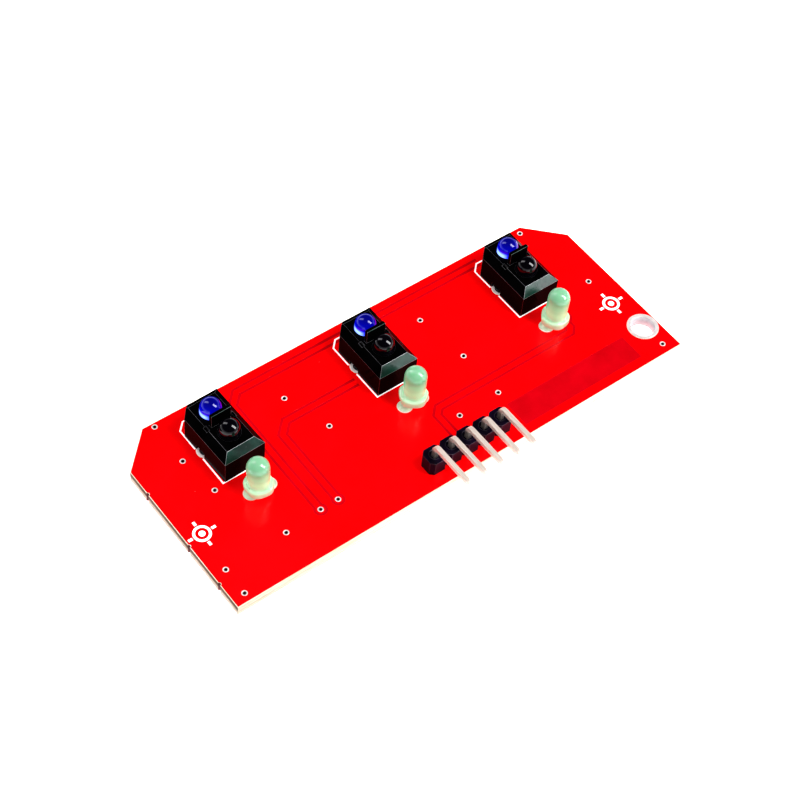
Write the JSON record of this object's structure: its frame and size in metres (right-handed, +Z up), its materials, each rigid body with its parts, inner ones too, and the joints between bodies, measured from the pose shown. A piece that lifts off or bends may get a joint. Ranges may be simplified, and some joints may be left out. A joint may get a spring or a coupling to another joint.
{
  "type": "line follower sensor board",
  "caption": "Flat circuit board carrying a row of downward-looking reflective sensors, an indicator LED beside each and a right-angle pin header, for steering a line-following robot.",
  "frame": {"origin": "under the middle of the whole footprint, level with the trimmed tips of the sensor and LED leads", "axes": "+X along the board's long side, +Y towards the side with the two cut corners and the sensors, +Z up out of the face that carries the sensors; the header pins point to -Y"},
  "size_m": [0.0684, 0.0306, 0.0099],
  "materials": {
    "board_mask": "satin solder mask over glass-fibre laminate",
    "tin_plating": "hot-tinned copper",
    "solder": "bright tin solder",
    "sensor_plastic": "satin moulded black",
    "emitter_lens": "polished tinted epoxy",
    "detector_lens": "polished dark epoxy",
    "led_lens": "diffusing tinted epoxy",
    "lead_metal": "tinned steel wire",
    "header_plastic": "moulded black",
    "pin_metal": "tinned square wire",
    "chip_plastic": "moulded black",
    "resistor_ceramic": "glazed ceramic",
    "capacitor_ceramic": "fired ceramic"
  },
  "bodies": {
    "root": {"chip_capacitor_bodies": "capacitor_ceramic", "chip_end_caps": "solder", "chip_resistor_bodies": "resistor_ceramic", "circuit_board": "board_mask", "comparator_chip_body": "chip_plastic", "comparator_chip_leads": "lead_metal", "header_block": "header_plastic", "header_pin_1": "pin_metal", "header_pin_2": "pin_metal", "header_pin_3": "pin_metal", "header_pin_4": "pin_metal", "header_pin_5": "pin_metal", "header_solder_joints": "solder", "lead_hole_plating": "tin_plating", "led_solder_joints": "solder", "left_led_anode_lead": "lead_metal", "left_led_cathode_lead": "lead_metal", "left_led_lens": "led_lens", "left_sensor_detector": "detector_lens", "left_sensor_detector_leads": "lead_metal", "left_sensor_emitter": "emitter_lens", "left_sensor_emitter_leads": "lead_metal", "left_sensor_housing": "sensor_plastic", "middle_led_anode_lead": "lead_metal", "middle_led_cathode_lead": "lead_metal", "middle_led_lens": "led_lens", "middle_sensor_detector": "detector_lens", "middle_sensor_detector_leads": "lead_metal", "middle_sensor_emitter": "emitter_lens", "middle_sensor_emitter_leads": "lead_metal", "middle_sensor_housing": "sensor_plastic", "mounting_hole_rings": "tin_plating", "peg_hole_rings": "tin_plating", "right_led_anode_lead": "lead_metal", "right_led_cathode_lead": "lead_metal", "right_led_lens": "led_lens", "right_sensor_detector": "detector_lens", "right_sensor_detector_leads": "lead_metal", "right_sensor_emitter": "emitter_lens", "right_sensor_emitter_leads": "lead_metal", "right_sensor_housing": "sensor_plastic", "sensor_solder_joints": "solder", "surface_mount_pads": "tin_plating", "via_plating": "tin_plating"}
  },
  "joints": []
}
